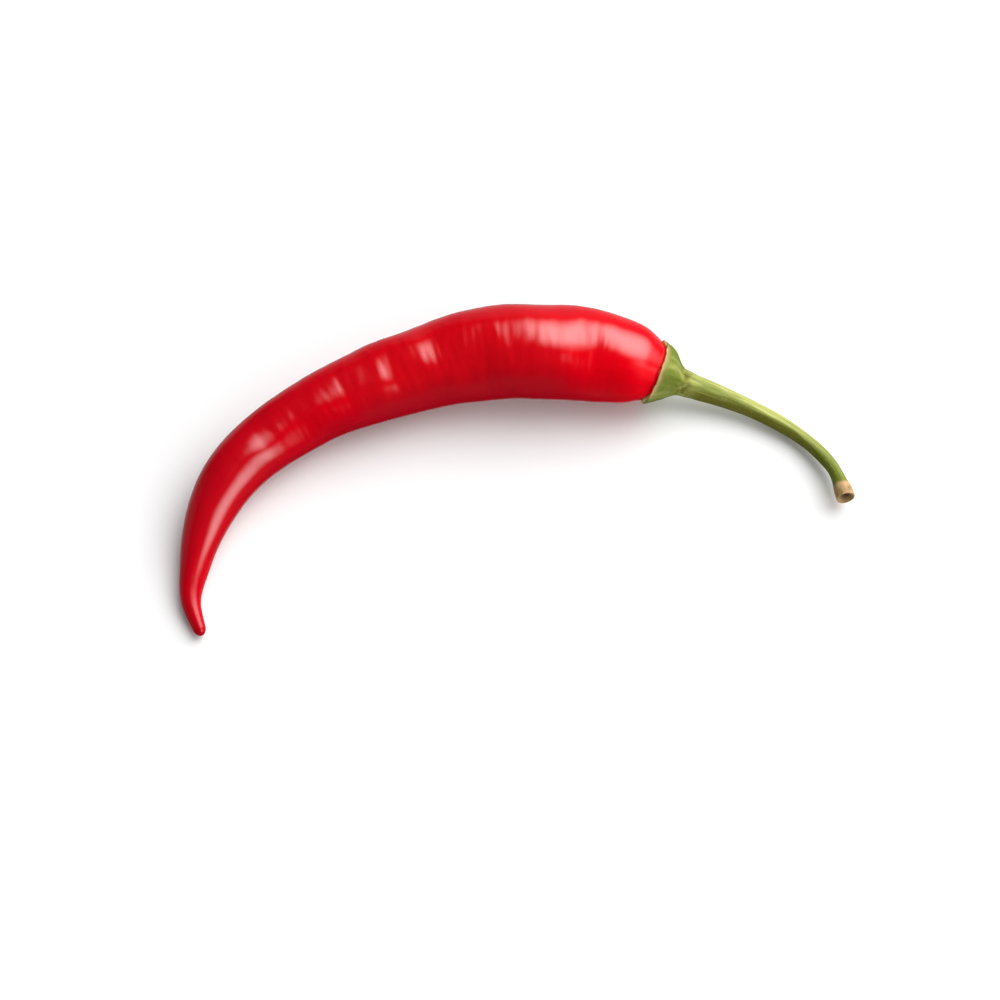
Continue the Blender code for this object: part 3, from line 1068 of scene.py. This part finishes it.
class PEPPER_OT_set_stage(Operator):
    """Lays the pale floor, hangs the soft lights and sets the camera"""

    bl_idname = "pepper.set_stage"
    bl_label = "Set Stage"

    def execute(self, context):
        stage = context.scene.pepper_stage
        bm = bmesh.new()
        bmesh.ops.create_grid(bm, x_segments=8, y_segments=8, size=3.0)
        mesh = bpy.data.meshes.new("floor")
        bm.to_mesh(mesh)
        bm.free()
        mesh.materials.append(floor_material(stage.floor_colour))
        floor = bpy.data.objects.new("floor", mesh)
        context.scene.collection.objects.link(floor)
        floor.visible_glossy = False

        soft_light(
            "key_light", stage.key_brightness, aimed_at=CAMERA_TARGET, towards=(33.0, 30.0), distance=1.6,
            size=(3.1, 3.1), upright=(0.0, 1.0, 0.0), edge=0.9,
        )
        soft_light(
            "side_light", stage.side_brightness, aimed_at=TIP_LIT, towards=(57.0, -48.0), distance=1.2,
            size=(1.05, 1.6), upright=(0.0, 0.0, 1.0), edge=0.9,
        )
        context.scene.world = studio_world()
        context.scene.view_settings.view_transform = "Standard"

        camera = bpy.data.objects.new("camera", bpy.data.cameras.new("camera"))
        camera.data.lens = CAMERA_LENS
        camera.data.sensor_width = SENSOR_WIDTH
        away = Vector((0.0, -math.cos(CAMERA_ELEVATION), math.sin(CAMERA_ELEVATION)))
        distance = MM_PER_PIXEL * MM * IMAGE_WIDTH * CAMERA_LENS / SENSOR_WIDTH
        camera.location = CAMERA_TARGET + away * distance
        camera.rotation_euler = away.to_track_quat("Z", "Y").to_euler()
        camera.data.clip_start = 0.01
        context.scene.collection.objects.link(camera)
        context.scene.camera = camera
        return {"FINISHED"}


class PEPPER_PT_parts(Panel):
    """Lists the pepper's parts, sizes and colours"""

    bl_idname = "PEPPER_PT_parts"
    bl_label = "Chilli Pepper"
    bl_space_type = "VIEW_3D"
    bl_region_type = "UI"
    bl_category = "Pepper"

    def draw(self, context):
        scene = context.scene
        for label, operator, group in (
            ("Fruit and calyx", PEPPER_OT_add_fruit, scene.pepper_shape),
            ("Colours", PEPPER_OT_add_stalk, scene.pepper_colours),
            ("Stage", PEPPER_OT_set_stage, scene.pepper_stage),
        ):
            box = self.layout.box()
            box.label(text=label)
            for name in group.__annotations__:
                box.prop(group, name)
            box.operator(operator.bl_idname)


CLASSES = (
    PepperShape,
    PepperColours,
    PepperStage,
    PEPPER_OT_add_fruit,
    PEPPER_OT_add_stalk,
    PEPPER_OT_set_stage,
    PEPPER_PT_parts,
)


def register():
    for kind in CLASSES:
        bpy.utils.register_class(kind)
    bpy.types.Scene.pepper_shape = PointerProperty(type=PepperShape)
    bpy.types.Scene.pepper_colours = PointerProperty(type=PepperColours)
    bpy.types.Scene.pepper_stage = PointerProperty(type=PepperStage)


def unregister():
    del bpy.types.Scene.pepper_stage
    del bpy.types.Scene.pepper_colours
    del bpy.types.Scene.pepper_shape
    for kind in reversed(CLASSES):
        bpy.utils.unregister_class(kind)


def main():
    register()
    bpy.ops.pepper.add_fruit()
    bpy.ops.pepper.add_stalk()
    bpy.ops.pepper.set_stage()


if __name__ == "__main__":
    main()
